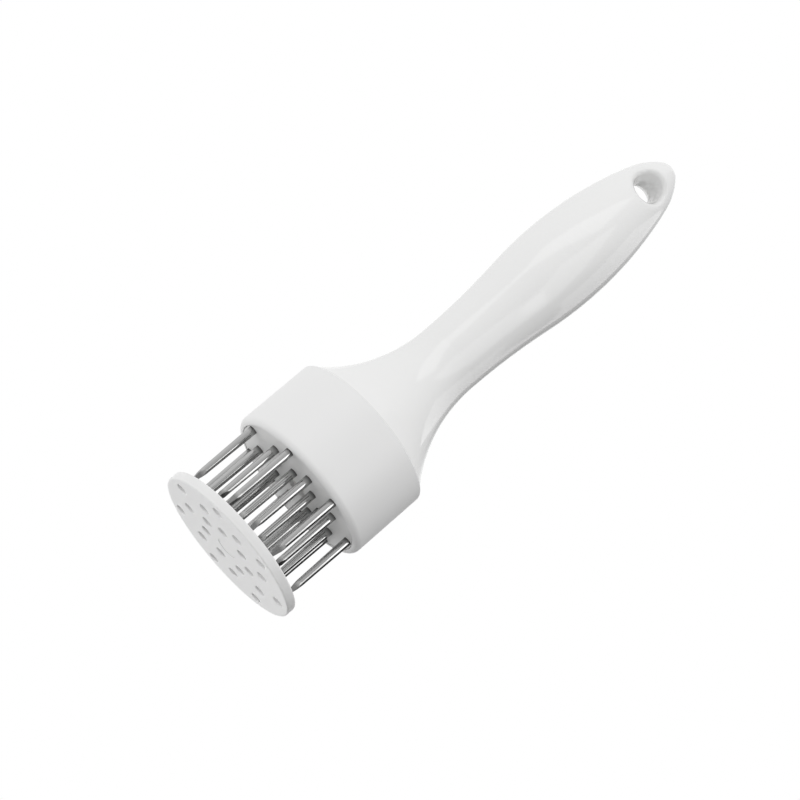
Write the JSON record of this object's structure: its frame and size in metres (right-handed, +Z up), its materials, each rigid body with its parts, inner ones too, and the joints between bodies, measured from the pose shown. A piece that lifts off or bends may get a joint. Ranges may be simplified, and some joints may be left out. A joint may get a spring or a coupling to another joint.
{
  "type": "needle press meat tenderizer",
  "caption": "Upright hand press: a waisted white handle over a round head of pointed steel needles, with a spring-loaded perforated guard disc that slides up the needles.",
  "frame": {"origin": "middle of the guard disc's lower face, with the guard fully out", "axes": "+Z up the tool's axis to the handle's tip; +Y along the hanging hole; -Y is the side that faces the camera"},
  "size_m": [0.0546, 0.0546, 0.1984],
  "materials": {
    "handle_plastic": "gloss",
    "sleeve_plastic": "satin",
    "disc_plastic": "satin",
    "plate_plastic": "satin",
    "bush_plastic": "matt",
    "needle_steel": "polished",
    "rod_steel": "ground",
    "fixing_steel": "plated",
    "spring_steel": "drawn wire"
  },
  "bodies": {
    "tool": {"handle": "handle_plastic", "head_sleeve": "sleeve_plastic", "needle_plate": "plate_plastic", "backing_plate": "plate_plastic", "needle_01": "needle_steel", "needle_02": "needle_steel", "needle_03": "needle_steel", "needle_04": "needle_steel", "needle_05": "needle_steel", "needle_06": "needle_steel", "needle_07": "needle_steel", "needle_08": "needle_steel", "needle_09": "needle_steel", "needle_10": "needle_steel", "needle_11": "needle_steel", "needle_12": "needle_steel", "needle_13": "needle_steel", "needle_14": "needle_steel", "needle_15": "needle_steel", "needle_16": "needle_steel", "needle_17": "needle_steel", "needle_18": "needle_steel", "needle_19": "needle_steel", "needle_20": "needle_steel", "needle_21": "needle_steel", "plate_screws": "fixing_steel", "guide_bush": "bush_plastic", "return_spring": "spring_steel"},
    "guard": {"guard_disc": "disc_plastic", "disc_plug": "disc_plastic", "guide_rod": "rod_steel", "push_nut": "fixing_steel", "stop_clip": "fixing_steel", "spring_seat": "bush_plastic"}
  },
  "joints": [
    {"name": "guard_slide", "type": "slide", "parent": "tool", "child": "guard", "axis": [0, 0, 1], "range_m": [0, 0.025], "stiffness_N_per_m": 275, "springref_m": -0.015, "deforming": ["return_spring"]}
  ]
}
